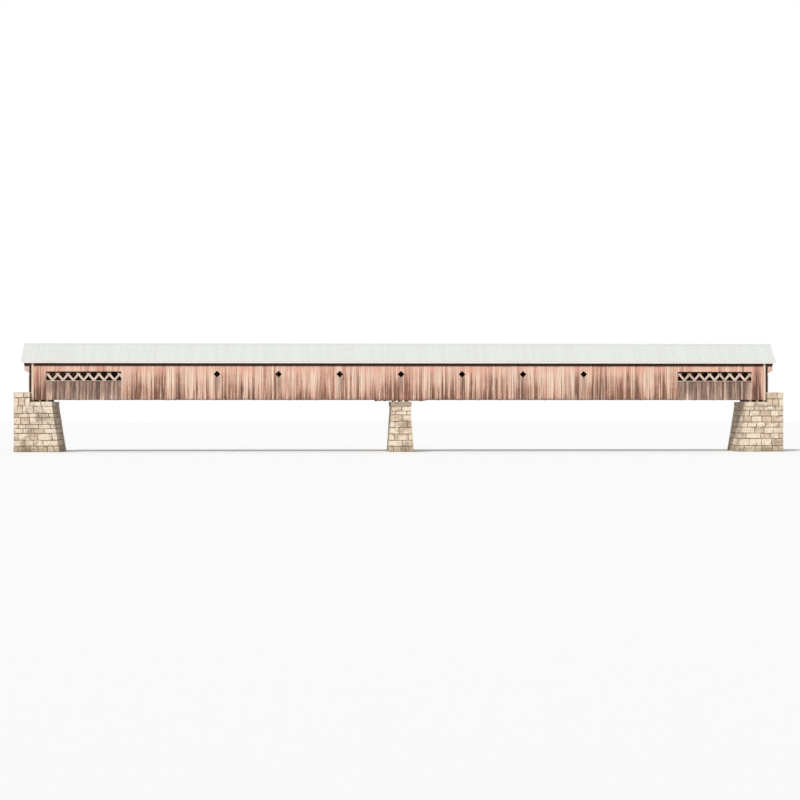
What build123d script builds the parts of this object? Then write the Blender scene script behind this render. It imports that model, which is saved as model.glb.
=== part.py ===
from build123d import *
import math
import os

os.makedirs("parts", exist_ok=True)

# Covered bridge with two plank lattice spans on a middle pier.
# It is a scale model at 1:10, in millimetres. X runs along the bridge, Y across it and Z up.
# The downstream side faces -Y. Z is zero at the foot of the masonry.

# Masonry
seat_level = 580.0
cap_course = 52.0
cap_proud = 6.0
cap_bevel = 4.0
pier_bed_margin = 25.5
pier_shoulder = 62.5
pier_batter = 0.06
abutment_shoulder = 72.5
abutment_lap = 240.0
abutment_batter = 0.16
abutment_back = 200.0
backwall_gap = 14.0

# Trusses
bay = 118.0
bay_count = 72
row_spacing = 69.3
chord_spacing = 400.0
plank_thick = 7.5
plank_wide = 24.0
leaf_thick = 15.0
leaf_deep = 24.0
chord_deep = 38.0
post_long = 30.0
roadway_wide = 485.0
lower_secondary_row = 1
upper_secondary_drop = 53.5

# Bearings and floor
bed_deep = 21.0
bed_wide = 26.0
bed_end_inset = 2.5
pier_bed_spacing = 75.0
seat_bed_spacing = 80.0
end_clear = 0.5
beam_deep = 26.0
beam_wide = 15.0
beam_every = 2
stringer_deep = 14.0
stringer_wide = 10.0
stringer_inset = 40.0
stringer_count = 5
deck_thick = 10.0
deck_gap = 2.5
guard_size = 12.0
guard_inset = 6.0

# Roof
pitch = 0.68
eave_overhang = 22.0
end_overhang = 120.0
plate_wide = 20.0
plate_edge = 4.0
tie_deep = 17.0
tie_wide = 14.0
tie_every = 3
brace_deep = 12.0
brace_wide = 8.0
rafter_deep = 12.0
rafter_wide = 6.0
tie_rafter_count = 2
sheet_thick = 4.0
fascia_thick = 4.0
fascia_drop = 3.0
ridge_wing = 24.0
ridge_thick = 3.0

# Boarding
board_thick = 2.5
siding_drop = 3.0
middle_siding_long = 580.0
middle_siding_drop = 12.0
window_half_diagonal = 37.0
window_every = 6
windows_a_side = 3
window_row = 4
opening_start = 162.0
opening_long = 863.0
sill_level = 822.0
head_level = 927.0
sill_rail_deep = 8.0
sill_rail_proud = 6.0
corner_wide = 22.0
corner_return = 25.0
gable_thick = 5.0
gable_inset = 30.0
gable_low = 1005.0
ear_low = 884.0
ear_tip = 938.0
ear_bow = 4.0
rake_thick = 4.0
rake_deep = 20.0

# Levels, from the ground up
chord_low = seat_level + bed_deep
lower_row = chord_low + chord_deep / 2
plank_low = chord_low + chord_deep
upper_row = lower_row + chord_spacing
plank_high = upper_row - chord_deep / 2
chord_top = upper_row + chord_deep / 2
lower_leaf_low = lower_row + lower_secondary_row * row_spacing - leaf_deep / 2
upper_leaf_low = upper_row - upper_secondary_drop - leaf_deep / 2
stringer_low = plank_low + beam_deep
deck_low = stringer_low + stringer_deep
deck_top = deck_low + deck_thick
window_level = lower_row + window_row * row_spacing
siding_low = chord_low - siding_drop
siding_top = chord_top

# Depths from the middle of the road, outwards
road_half = roadway_wide / 2
deck_half = road_half - deck_gap
lattice_inner = road_half + leaf_thick
lattice_outer = lattice_inner + 2 * plank_thick
truss_outer = lattice_outer + leaf_thick
siding_face = truss_outer + board_thick
eave_half = siding_face + eave_overhang
rafter_end = eave_half - fascia_thick
bed_half_long = truss_outer - bed_end_inset
pier_top_wide = 2 * (truss_outer + pier_shoulder)
abutment_wide = 2 * (truss_outer + abutment_shoulder)

# Lengths from the middle of the pier, outwards
truss_half = bay * bay_count / 2
post_face = truss_half - post_long
roof_half = truss_half + end_overhang
gable_face = roof_half - gable_inset
gable_back = gable_face - gable_thick
face_top = truss_half - abutment_lap
backwall_face = truss_half + backwall_gap
abutment_end = truss_half + abutment_back
shaft_top = seat_level - cap_course
pier_top_long = 2 * (pier_bed_spacing + bed_wide / 2 + pier_bed_margin)
opening_near = truss_half - opening_start - opening_long
middle_half = middle_siding_long / 2

# Roof lines, all parallel to the rafters' underside
slope_stretch = math.hypot(1, pitch)
rafter_seat = chord_top + plate_edge


def roof_line(depth, up):
    """Height of a line parallel to the roof, so far up from the underside of the rafters."""
    return rafter_seat + pitch * (truss_outer - depth) + up * slope_stretch


def spread(half, count):
    """Evenly spaced places from end to end, so many spaces."""
    return [-half + 2 * half * step / count for step in range(count + 1)]


def timber(x_low, x_high, y_low, y_high, z_low, z_high):
    """A squared timber between two corners, added to the piece that is being made."""
    with Locations(((x_low + x_high) / 2, (y_low + y_high) / 2, (z_low + z_high) / 2)):
        Box(x_high - x_low, y_high - y_low, z_high - z_low)


def finish(name, part):
    """Label a piece and write its file."""
    part.label = name
    export_step(part, f"parts/{name}.step")


def finish_side(side, name, part):
    """Write a piece that was made on the downstream side, for the side that it belongs to."""
    if side == "downstream":
        finish(f"downstream_{name}", part)
        return
    with BuildPart() as other_side:
        mirror(part, about=Plane.XZ)
    finish(f"upstream_{name}", other_side.part)


def finish_pair(name, part):
    """Write a downstream piece and its mirror image on the upstream side."""
    finish_side("downstream", name, part)
    finish_side("upstream", name, part)


# Pier: a battered shaft under a cap course
pier_foot_spread = 2 * pier_batter * shaft_top
with BuildPart() as pier_shaft:
    with BuildSketch():
        Rectangle(pier_top_long + pier_foot_spread, pier_top_wide + pier_foot_spread)
    with BuildSketch(Plane.XY.offset(shaft_top)):
        Rectangle(pier_top_long, pier_top_wide)
    loft()
finish("pier_shaft", pier_shaft.part)

with BuildPart() as pier_cap:
    with BuildSketch(Plane.XY.offset(shaft_top)):
        Rectangle(pier_top_long + 2 * cap_proud, pier_top_wide + 2 * cap_proud)
    extrude(amount=cap_course)
    chamfer(pier_cap.faces().sort_by(Axis.Z)[-1].edges(), length=cap_bevel)
finish("pier_cap", pier_cap.part)

# Abutments: a river face with batter, a bridge seat and a back wall up to the road
with BuildPart() as east_abutment:
    with BuildSketch(Plane.XZ):
        with BuildLine():
            Polyline(
                (face_top - abutment_batter * shaft_top, 0),
                (face_top, shaft_top),
                (backwall_face, shaft_top),
                (backwall_face, deck_top),
                (abutment_end, deck_top),
                (abutment_end, 0),
                close=True,
            )
        make_face()
    extrude(amount=abutment_wide / 2, both=True)
finish("east_abutment", east_abutment.part)

with BuildPart() as west_abutment:
    mirror(east_abutment.part, about=Plane.YZ)
finish("west_abutment", west_abutment.part)

with BuildPart() as abutment_seats:
    timber(
        face_top - cap_proud, backwall_face,
        -abutment_wide / 2 - cap_proud, abutment_wide / 2 + cap_proud,
        shaft_top, seat_level,
    )
    mirror(about=Plane.YZ)
finish("abutment_seats", abutment_seats.part)

# Bed timbers lie across the bridge and carry the trusses on the masonry
with BuildPart() as bed_timber:
    with BuildSketch(Plane.XY.offset(seat_level)):
        Rectangle(bed_wide, 2 * bed_half_long)
    extrude(amount=bed_deep)

with BuildPart() as pier_bed_timbers:
    with Locations((-pier_bed_spacing, 0), (0, 0), (pier_bed_spacing, 0)):
        add(bed_timber.part)
finish("pier_bed_timbers", pier_bed_timbers.part)

seat_bed_last = truss_half - bed_wide / 2
seat_bed_places = [seat_bed_last - seat_bed_spacing * step for step in range(3)]
with BuildPart() as east_bed_timbers:
    with Locations(*[(place, 0) for place in seat_bed_places]):
        add(bed_timber.part)
finish("east_bed_timbers", east_bed_timbers.part)

with BuildPart() as west_bed_timbers:
    mirror(east_bed_timbers.part, about=Plane.YZ)
finish("west_bed_timbers", west_bed_timbers.part)


# Lattice trusses: two layers of planks that lean opposite ways and are pinned where they cross
def lattice_plank(start, lean):
    """One leaning plank between the main chords, from its place on the lower row."""
    half_width = plank_wide / 2 * math.hypot(bay / 2, row_spacing) / row_spacing
    shift = lean * bay / 2 / row_spacing
    foot = start + shift * (plank_low - lower_row)
    head = start + shift * (plank_high - lower_row)
    Polygon(
        (foot - half_width, plank_low),
        (foot + half_width, plank_low),
        (head + half_width, plank_high),
        (head - half_width, plank_high),
        align=None,
    )


def plank_starts(lean, side):
    """Places on the lower row of the planks whose middles lie on one side of the pier."""
    shift = lean * bay / 2 / row_spacing
    spill = math.ceil(chord_spacing / row_spacing / 2)
    starts = []
    for number in range(-bay_count // 2 - spill, bay_count // 2 + spill):
        start = (number + 0.5) * bay
        foot = start + shift * (plank_low - lower_row)
        head = start + shift * (plank_high - lower_row)
        inside = min(max(foot, head), post_face) - max(min(foot, head), -post_face)
        if (foot + head) * side > 0 and inside > bay / 2:
            starts.append(start)
    return starts


def half_lattice(side):
    """The lattice of the downstream truss on one side of the pier."""
    with BuildPart() as half:
        for lean, layer in ((1, lattice_inner), (-1, lattice_inner + plank_thick)):
            with BuildSketch(Plane.XZ.offset(layer)):
                for start in plank_starts(lean, side):
                    lattice_plank(start, lean)
                with Locations((0, (plank_low + plank_high) / 2)):
                    Rectangle(2 * post_face, plank_high - plank_low, mode=Mode.INTERSECT)
            extrude(amount=plank_thick)
    return half.part


finish_pair("lattice_west", half_lattice(-1))
finish_pair("lattice_east", half_lattice(1))


# Chords: the main ones the full thickness of the truss, the secondary ones a leaf on each side
def chords(main_low, leaf_low):
    """A main chord and the two leaves of the secondary chord beside it."""
    with BuildPart() as members:
        timber(-truss_half, truss_half, -truss_outer, -road_half, main_low, main_low + chord_deep)
        timber(-post_face, post_face, -truss_outer, -lattice_outer, leaf_low, leaf_low + leaf_deep)
        timber(-post_face, post_face, -lattice_inner, -road_half, leaf_low, leaf_low + leaf_deep)
    return members.part


finish_pair("lower_chords", chords(chord_low, lower_leaf_low))
finish_pair("upper_chords", chords(plank_high, upper_leaf_low))

with BuildPart() as end_posts:
    timber(post_face, truss_half, -truss_outer, -road_half, plank_low, plank_high)
    mirror(about=Plane.XZ)
    mirror(about=Plane.YZ)
finish("end_posts", end_posts.part)

# Floor: beams on the lower chords, stringers along them and the deck on top
with BuildPart() as floor_beam:
    with BuildSketch(Plane.XY.offset(plank_low)):
        Rectangle(beam_wide, 2 * (lattice_inner - end_clear))
    extrude(amount=beam_deep)

with BuildPart() as floor_beams:
    with Locations(*[(x, 0) for x in spread(post_face - beam_wide / 2, bay_count // beam_every)]):
        add(floor_beam.part)
finish("floor_beams", floor_beams.part)

with BuildPart() as stringers:
    with BuildSketch(Plane.XY.offset(stringer_low)):
        with Locations(*[(0, y) for y in spread(deck_half - stringer_inset, stringer_count - 1)]):
            Rectangle(2 * truss_half, stringer_wide)
    extrude(amount=stringer_deep)
finish("stringers", stringers.part)

with BuildPart() as deck:
    timber(-truss_half, truss_half, -deck_half, deck_half, deck_low, deck_top)
finish("deck", deck.part)

guard_out = deck_half - guard_inset
with BuildPart() as wheel_guards:
    timber(
        -truss_half, truss_half,
        -guard_out, guard_size - guard_out,
        deck_top, deck_top + guard_size,
    )
    mirror(about=Plane.XZ)
finish("wheel_guards", wheel_guards.part)

# Ties between the trusses, with knee braces down to the secondary chord
tie_places = spread(truss_half - tie_wide / 2, bay_count // tie_every)
tie_half = truss_outer - plate_wide - end_clear
with BuildPart() as tie_beam:
    with BuildSketch(Plane.XY.offset(chord_top)):
        Rectangle(tie_wide, 2 * tie_half)
    extrude(amount=tie_deep)

with BuildPart() as tie_beams:
    with Locations(*[(x, 0) for x in tie_places]):
        add(tie_beam.part)
finish("tie_beams", tie_beams.part)

brace_cut = brace_deep * math.sqrt(2)
brace_reach = chord_top - upper_leaf_low
with BuildPart() as knee_brace:
    with BuildSketch(Plane.YZ):
        Polygon(
            (-road_half, upper_leaf_low),
            (-road_half, upper_leaf_low + brace_cut),
            (brace_reach - brace_cut - road_half, chord_top),
            (brace_reach - road_half, chord_top),
            align=None,
        )
    extrude(amount=brace_wide / 2, both=True)

with BuildPart() as knee_braces:
    with Locations(*[(x, 0) for x in tie_places]):
        add(knee_brace.part)
finish_pair("knee_braces", knee_braces.part)

# Wall plates with a top cut to the slope of the rafters
with BuildPart() as wall_plates:
    with BuildSketch(Plane.YZ):
        Polygon(
            (-truss_outer, chord_top),
            (plate_wide - truss_outer, chord_top),
            (plate_wide - truss_outer, roof_line(truss_outer - plate_wide, 0)),
            (-truss_outer, roof_line(truss_outer, 0)),
            align=None,
        )
    extrude(amount=gable_back, both=True)
    mirror(about=Plane.XZ)
finish("wall_plates", wall_plates.part)

# Rafters, from the ridge to the eave board
end_rafter = gable_back - rafter_wide / 2
rafter_places = [-end_rafter, *spread(truss_half, tie_rafter_count * (bay_count // tie_every)), end_rafter]
with BuildPart() as rafter:
    with BuildSketch(Plane.YZ):
        Polygon(
            (-rafter_end, roof_line(rafter_end, 0)),
            (0, roof_line(0, 0)),
            (0, roof_line(0, rafter_deep)),
            (-rafter_end, roof_line(rafter_end, rafter_deep)),
            align=None,
        )
    extrude(amount=rafter_wide / 2, both=True)

with BuildPart() as rafters:
    with Locations(*[(x, 0) for x in rafter_places]):
        add(rafter.part)
finish_pair("rafters", rafters.part)

# Roof sheets on their boards, ridge cap and eave boards
roof_top = rafter_deep + sheet_thick
with BuildPart() as roof:
    with BuildSketch(Plane.YZ):
        Polygon(
            (-eave_half, roof_line(eave_half, rafter_deep)),
            (0, roof_line(0, rafter_deep)),
            (0, roof_line(0, roof_top)),
            (-eave_half, roof_line(eave_half, roof_top)),
            align=None,
        )
    extrude(amount=roof_half, both=True)
finish_pair("roof", roof.part)

with BuildPart() as ridge_cap:
    with BuildSketch(Plane.YZ):
        Polygon(
            (-ridge_wing, roof_line(ridge_wing, roof_top)),
            (0, roof_line(0, roof_top)),
            (ridge_wing, roof_line(ridge_wing, roof_top)),
            (ridge_wing, roof_line(ridge_wing, roof_top + ridge_thick)),
            (0, roof_line(0, roof_top + ridge_thick)),
            (-ridge_wing, roof_line(ridge_wing, roof_top + ridge_thick)),
            align=None,
        )
    extrude(amount=roof_half, both=True)
finish("ridge_cap", ridge_cap.part)

fascia_low = roof_line(eave_half, 0) - fascia_drop
with BuildPart() as eave_boards:
    with BuildSketch(Plane.YZ):
        Polygon(
            (-eave_half, fascia_low),
            (-rafter_end, fascia_low),
            (-rafter_end, roof_line(rafter_end, rafter_deep)),
            (-eave_half, roof_line(eave_half, rafter_deep)),
            align=None,
        )
    extrude(amount=roof_half, both=True)
    mirror(about=Plane.XZ)
finish("eave_boards", eave_boards.part)


# Side boarding, with diamond windows and a long opening towards each end
def siding(x_low, x_high, z_low, window_places, opening):
    """A stretch of boarding with its windows and, where it has one, its long opening."""
    with BuildPart() as boards:
        with BuildSketch(Plane.XZ.offset(truss_outer)):
            with Locations(((x_low + x_high) / 2, (z_low + siding_top) / 2)):
                Rectangle(x_high - x_low, siding_top - z_low)
            for x in window_places:
                side = window_half_diagonal * math.sqrt(2)
                with Locations((x, window_level)):
                    Rectangle(side, side, rotation=45, mode=Mode.SUBTRACT)
            if opening:
                with Locations(((opening[0] + opening[1]) / 2, (z_low + head_level) / 2)):
                    Rectangle(opening[1] - opening[0], head_level - z_low, mode=Mode.SUBTRACT)
        extrude(amount=board_thick)
    return boards.part


def sill(x_low, x_high):
    """Boards under the long openings of one side, with a rail along each sill."""
    with BuildPart() as boards:
        timber(x_low, x_high, -siding_face, -truss_outer, siding_low, sill_level)
        timber(
            x_low, x_high,
            -siding_face - sill_rail_proud, -siding_face,
            sill_level - sill_rail_deep, sill_level,
        )
        mirror(about=Plane.YZ)
    return boards.part


# The openings of one side face closed boarding on the other, so no light shows straight through
window_step = window_every * bay
layouts = {
    "downstream": {"middle": [0], "first": window_step, "near": opening_near},
    "upstream": {"middle": [], "first": window_step / 2, "near": opening_near - opening_long},
}
for side, layout in layouts.items():
    near = layout["near"]
    far = near + opening_long
    windows = [layout["first"] + window_step * number for number in range(windows_a_side)]
    mirrored = [-x for x in windows]
    middle_low = siding_low - middle_siding_drop
    west = siding(-truss_half, -middle_half, siding_low, mirrored, (-far, -near))
    middle = siding(-middle_half, middle_half, middle_low, layout["middle"], None)
    east = siding(middle_half, truss_half, siding_low, windows, (near, far))
    finish_side(side, "siding_west", west)
    finish_side(side, "siding_middle", middle)
    finish_side(side, "siding_east", east)
    finish_side(side, "sill_boards", sill(near, far))

# Corner boards fold round the ends of the boarding
corner_face = siding_face + board_thick
with BuildPart() as corner_boards:
    with BuildSketch(Plane.XY.offset(siding_low)):
        with BuildLine():
            Polyline(
                (truss_half - corner_wide, -siding_face),
                (truss_half - corner_wide, -corner_face),
                (truss_half + board_thick, -corner_face),
                (truss_half + board_thick, corner_return - corner_face),
                (truss_half, corner_return - corner_face),
                (truss_half, -siding_face),
                close=True,
            )
        make_face()
    extrude(amount=siding_top - siding_low)
    mirror(about=Plane.XZ)
    mirror(about=Plane.YZ)
finish("corner_boards", corner_boards.part)

# Gable walls under the ends of the roof, with rake boards and side ears
with BuildPart() as gable_walls:
    with BuildSketch(Plane.YZ.offset(gable_back)):
        Polygon(
            (-siding_face, gable_low),
            (siding_face, gable_low),
            (siding_face, roof_line(siding_face, rafter_deep)),
            (0, roof_line(0, rafter_deep)),
            (-siding_face, roof_line(siding_face, rafter_deep)),
            align=None,
        )
    extrude(amount=gable_thick)
    mirror(about=Plane.YZ)
finish("gable_walls", gable_walls.part)

rake_drop = rake_deep / slope_stretch
with BuildPart() as rake_boards:
    with BuildSketch(Plane.YZ.offset(gable_face)):
        Polygon(
            (-rafter_end, roof_line(rafter_end, rafter_deep) - rake_deep),
            (0, roof_line(0, rafter_deep) - rake_deep),
            (rafter_end, roof_line(rafter_end, rafter_deep) - rake_deep),
            (rafter_end, roof_line(rafter_end, rafter_deep)),
            (0, roof_line(0, rafter_deep)),
            (-rafter_end, roof_line(rafter_end, rafter_deep)),
            align=None,
        )
    extrude(amount=rake_thick)
    mirror(about=Plane.YZ)
finish("rake_boards", rake_boards.part)

ear_start = truss_half + board_thick
ear_middle = ((ear_start + gable_back) / 2 - ear_bow, (ear_low + ear_tip) / 2 + ear_bow)
with BuildPart() as portal_ears:
    with BuildSketch(Plane.XZ.offset(truss_outer)):
        with BuildLine():
            Polyline(
                (ear_start, ear_low),
                (ear_start, siding_top),
                (gable_back, siding_top),
                (gable_back, ear_tip),
            )
            ThreePointArc((gable_back, ear_tip), ear_middle, (ear_start, ear_low))
        make_face()
    extrude(amount=board_thick)
    mirror(about=Plane.XZ)
    mirror(about=Plane.YZ)
finish("portal_ears", portal_ears.part)
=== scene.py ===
import itertools
import math
import random

import bmesh
import bpy
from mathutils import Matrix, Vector


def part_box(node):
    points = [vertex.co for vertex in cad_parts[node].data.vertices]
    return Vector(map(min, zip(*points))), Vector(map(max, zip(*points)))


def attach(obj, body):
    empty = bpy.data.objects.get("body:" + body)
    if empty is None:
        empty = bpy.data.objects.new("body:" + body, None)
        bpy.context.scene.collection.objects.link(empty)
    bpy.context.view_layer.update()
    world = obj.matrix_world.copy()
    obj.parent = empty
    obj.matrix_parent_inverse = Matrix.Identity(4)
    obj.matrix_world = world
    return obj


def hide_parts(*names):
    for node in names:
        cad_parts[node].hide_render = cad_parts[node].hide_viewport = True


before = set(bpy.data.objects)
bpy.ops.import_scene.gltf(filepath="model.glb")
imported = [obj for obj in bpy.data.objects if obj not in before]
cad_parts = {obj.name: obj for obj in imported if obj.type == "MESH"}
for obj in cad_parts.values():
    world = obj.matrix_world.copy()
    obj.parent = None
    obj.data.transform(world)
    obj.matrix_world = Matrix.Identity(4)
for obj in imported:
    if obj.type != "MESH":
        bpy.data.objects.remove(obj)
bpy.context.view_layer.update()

bl_info = {
    "name": "Covered Bridge",
    "version": (1, 0, 0),
    "blender": (4, 5, 0),
    "location": "3D View > Sidebar > Bridge",
    "description": "Boards, stonework, roof metal and weathered finishes for a covered bridge",
    "category": "Add Mesh",
}

SIDES = {"downstream": -1, "upstream": 1}
STRETCHES = ("west", "middle", "east")
X_AXIS = Vector((1, 0, 0))
Y_AXIS = Vector((0, 1, 0))
Z_AXIS = Vector((0, 0, 1))
CROSS_GRAIN = (0.0, 0.0, math.pi / 2)
UPRIGHT_GRAIN = (0.0, math.pi / 2, 0.0)
MERGE = 0.00001

# Places that the frame gives, in metres
SIDING_LOW, SIDING_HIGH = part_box("downstream_siding_west")
SILL_LOW, SILL_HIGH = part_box("downstream_sill_boards")
ROOF_LOW, ROOF_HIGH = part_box("downstream_roof")
LATTICE_LOW, LATTICE_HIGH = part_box("downstream_lattice_west")
LOWER_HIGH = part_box("downstream_lower_chords")[1]
TIE_LOW, TIE_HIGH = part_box("tie_beams")
PIER_LOW, PIER_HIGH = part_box("pier_shaft")
SEAT_LOW, SEAT_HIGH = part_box("abutment_seats")
ABUTMENT_LOW, ABUTMENT_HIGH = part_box("east_abutment")
EAR_LOW, EAR_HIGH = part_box("portal_ears")
CORNER_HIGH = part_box("corner_boards")[1]
CAP_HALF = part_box("ridge_cap")[1].y
EAVE_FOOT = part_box("eave_boards")[0].z
BEAM_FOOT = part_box("floor_beams")[0].z
GABLE_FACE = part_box("gable_walls")[1].x
ROAD_HALF = -LOWER_HIGH.y
TRUSS_HALF = LOWER_HIGH.x
POST_FACE = -LATTICE_LOW.x
LATTICE_MIDDLE = -(LATTICE_LOW.y + LATTICE_HIGH.y) / 2
BOARD_MIDDLE = -(SIDING_LOW.y + SIDING_HIGH.y) / 2
ROOF_HALF = ROOF_HIGH.x
ROOF_RUN = -ROOF_LOW.y

# Forms that the frame's boxes don't give, as in the construction, in metres
BAY = 0.118
BAYS_EACH_WAY = 36
ROW_SPACING = 0.0693
LOWER_ROW = 0.620
CROSSING_ROWS = 5
TIE_SPACES = 24
PIER_TOP = Vector((0.227, 0.700))
ABUTMENT_FACE_TOP = 4.008
BACKWALL_FACE = 4.262
ROOF_PITCH = 0.68
ROOF_THICK = 0.004
ROOF_UPRIGHT = ROOF_THICK * math.hypot(1, ROOF_PITCH)
GABLE_THICK = 0.005
GABLE_MIDDLE = GABLE_FACE - GABLE_THICK / 2
WINDOW_ROW = 4
WINDOW_LEVEL = LOWER_ROW + WINDOW_ROW * ROW_SPACING
WINDOW_STEP = 0.708
WINDOW_HALF = 0.037
OPENING_LONG = 0.863
OPENING_HIGH = 0.927

# Small sizes of the pieces made here, in metres
JAMB_DEEP = 0.012
JAMB_SET_BACK = 0.0007
EAR_CLEAR = 0.0001
SILL_RAIL_DEEP = 0.008
SILL_RAIL_PROUD = 0.006
DRIP_THICK = 0.0005
SEAM_ROUND = 0.0004
SEAM_UNDER_CAP = 0.004
ROOF_BOARD_LONG = 0.45
ROOF_BOARD_GAP = 0.0008
ROOF_BOARD_CLEAR = 0.0002
BOARD_SPARE = 0.002
GABLE_RAGGED = 0.0015
BRACE_CLEAR = 0.007
LOWER_BRACE_DROP = 0.022
PIN_CLEAR = 0.02
JOINT_DIRT = 0.0018
WHEEL_TRACK = 0.085

# Counts and shares
SEED_STEP = 100
SHEET_STEPS = 8
SHEET_CORNERS = 5
PIN_SIDES = 8
JOINT_SHIFT = 0.16
LEAST_RELIEF = 0.04
UNEVEN_LENGTHS = (0.7, 1.35)
WORN_CORNERS = (0.35, 0.6)
MOST_WORN = 0.3
PAVING_DEPTH = 1.6
WINDOWS_REACH = 3.4

# The stage, in metres and radians
FLOOR_REACH = 60.0
CAMERA_REACH = 400.0
SUN_WIDTH = math.radians(6)
SUN_COLOUR = (1.0, 0.97, 0.92)
SUN_WAY = Vector((0.62, 1.0, -1.26))


def tint(red, green, blue):
    """A colour given as 0 to 255 on the screen, as the linear values that shaders take."""
    linear = []
    for value in (red, green, blue):
        part = value / 255
        linear.append(part / 12.92 if part <= 0.04045 else ((part + 0.055) / 1.055) ** 2.4)
    return (*linear, 1.0)


def length(name, description, default):
    return bpy.props.FloatProperty(
        name=name, description=description, default=default, min=0.0, unit="LENGTH",
        subtype="DISTANCE", precision=5,
    )


def share(name, description, default):
    return bpy.props.FloatProperty(
        name=name, description=description, default=default, min=0.0, max=1.0, subtype="FACTOR"
    )


def strength(name, description, default):
    return bpy.props.FloatProperty(name=name, description=description, default=default, min=0.0)


def colour(name, description, *screen):
    return bpy.props.FloatVectorProperty(
        name=name, description=description, default=tint(*screen), size=4, min=0.0, max=1.0,
        subtype="COLOR",
    )


def random_seed(default):
    return bpy.props.IntProperty(
        name="Seed", description="Changes what is random", default=default, min=0
    )


class BoardingSettings(bpy.types.PropertyGroup):
    width: length("Board width", "Width of one side board", 0.025)
    gap: length("Gap", "Gap between side boards", 0.0003)
    relief: share("Relief", "How much thinner the thinnest board is", 0.55)
    ragged: length("Ragged ends", "How unevenly the boards end at the foot", 0.009)
    ear_width: length("Ear board width", "Width of the boards of the side ears", 0.019)
    jamb: length("Jamb width", "Width of the dark board beside a corner board", 0.026)
    bead: length("Bead width", "Width of the pale bead beside that", 0.008)
    seed: random_seed(11)


class RoofSettings(bpy.types.PropertyGroup):
    seam_spacing: length("Seam spacing", "Width of one metal sheet", 0.036)
    seam_gap: length("Sheet gap", "Gap between two sheets, under their seam", 0.0004)
    seam_height: length("Seam height", "How far a seam stands up", 0.0018)
    seam_width: length("Seam width", "Thickness of a folded seam", 0.0014)
    drip: length("Drip edge", "How far the metal is folded down at the eave", 0.0062)
    skin: length("Skin", "Upright thickness of the metal on its boards", 0.0015)
    buckle: length("Buckle", "How far a sheet bulges out of flat", 0.0004)
    sheathing: length("Roof board width", "Width of the boards under the metal", 0.022)
    seed: random_seed(23)


class MasonrySettings(bpy.types.PropertyGroup):
    course: length("Course height", "Height of one course of stones", 0.066)
    stone: length("Stone length", "Mean length of one stone", 0.115)
    bed: length("Stone depth", "How far a stone reaches into the wall", 0.055)
    joint: length("Joint", "Width of the mortar joints", 0.0036)
    arris: length("Worn edge", "How far the stones' edges are worn back", 0.0058)
    rough: length("Roughness", "Depth of the hollows in a stone's face", 0.0058)
    recess: length("Mortar recess", "How far the mortar lies behind the stones", 0.006)
    seed: random_seed(5)


class FloorSettings(bpy.types.PropertyGroup):
    width: length("Plank width", "Width of one deck plank", 0.022)
    gap: length("Gap", "Gap between deck planks", 0.0012)
    relief: share("Relief", "How much thinner the thinnest plank is", 0.16)
    seed: random_seed(37)


class TrussSettings(bpy.types.PropertyGroup):
    pin_radius: length("Pin radius", "Radius of the wooden pins", 0.0026)
    pin_proud: length("Pin length", "How far a pin stands out of the planks", 0.001)
    pin_offset: length("Pin offset", "From a crossing's middle to a pin", 0.0075)
    brace_wide: length("Brace width", "Width of the level cross braces", 0.012)
    brace_thick: length("Brace thickness", "Thickness of the cross braces", 0.006)


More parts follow.
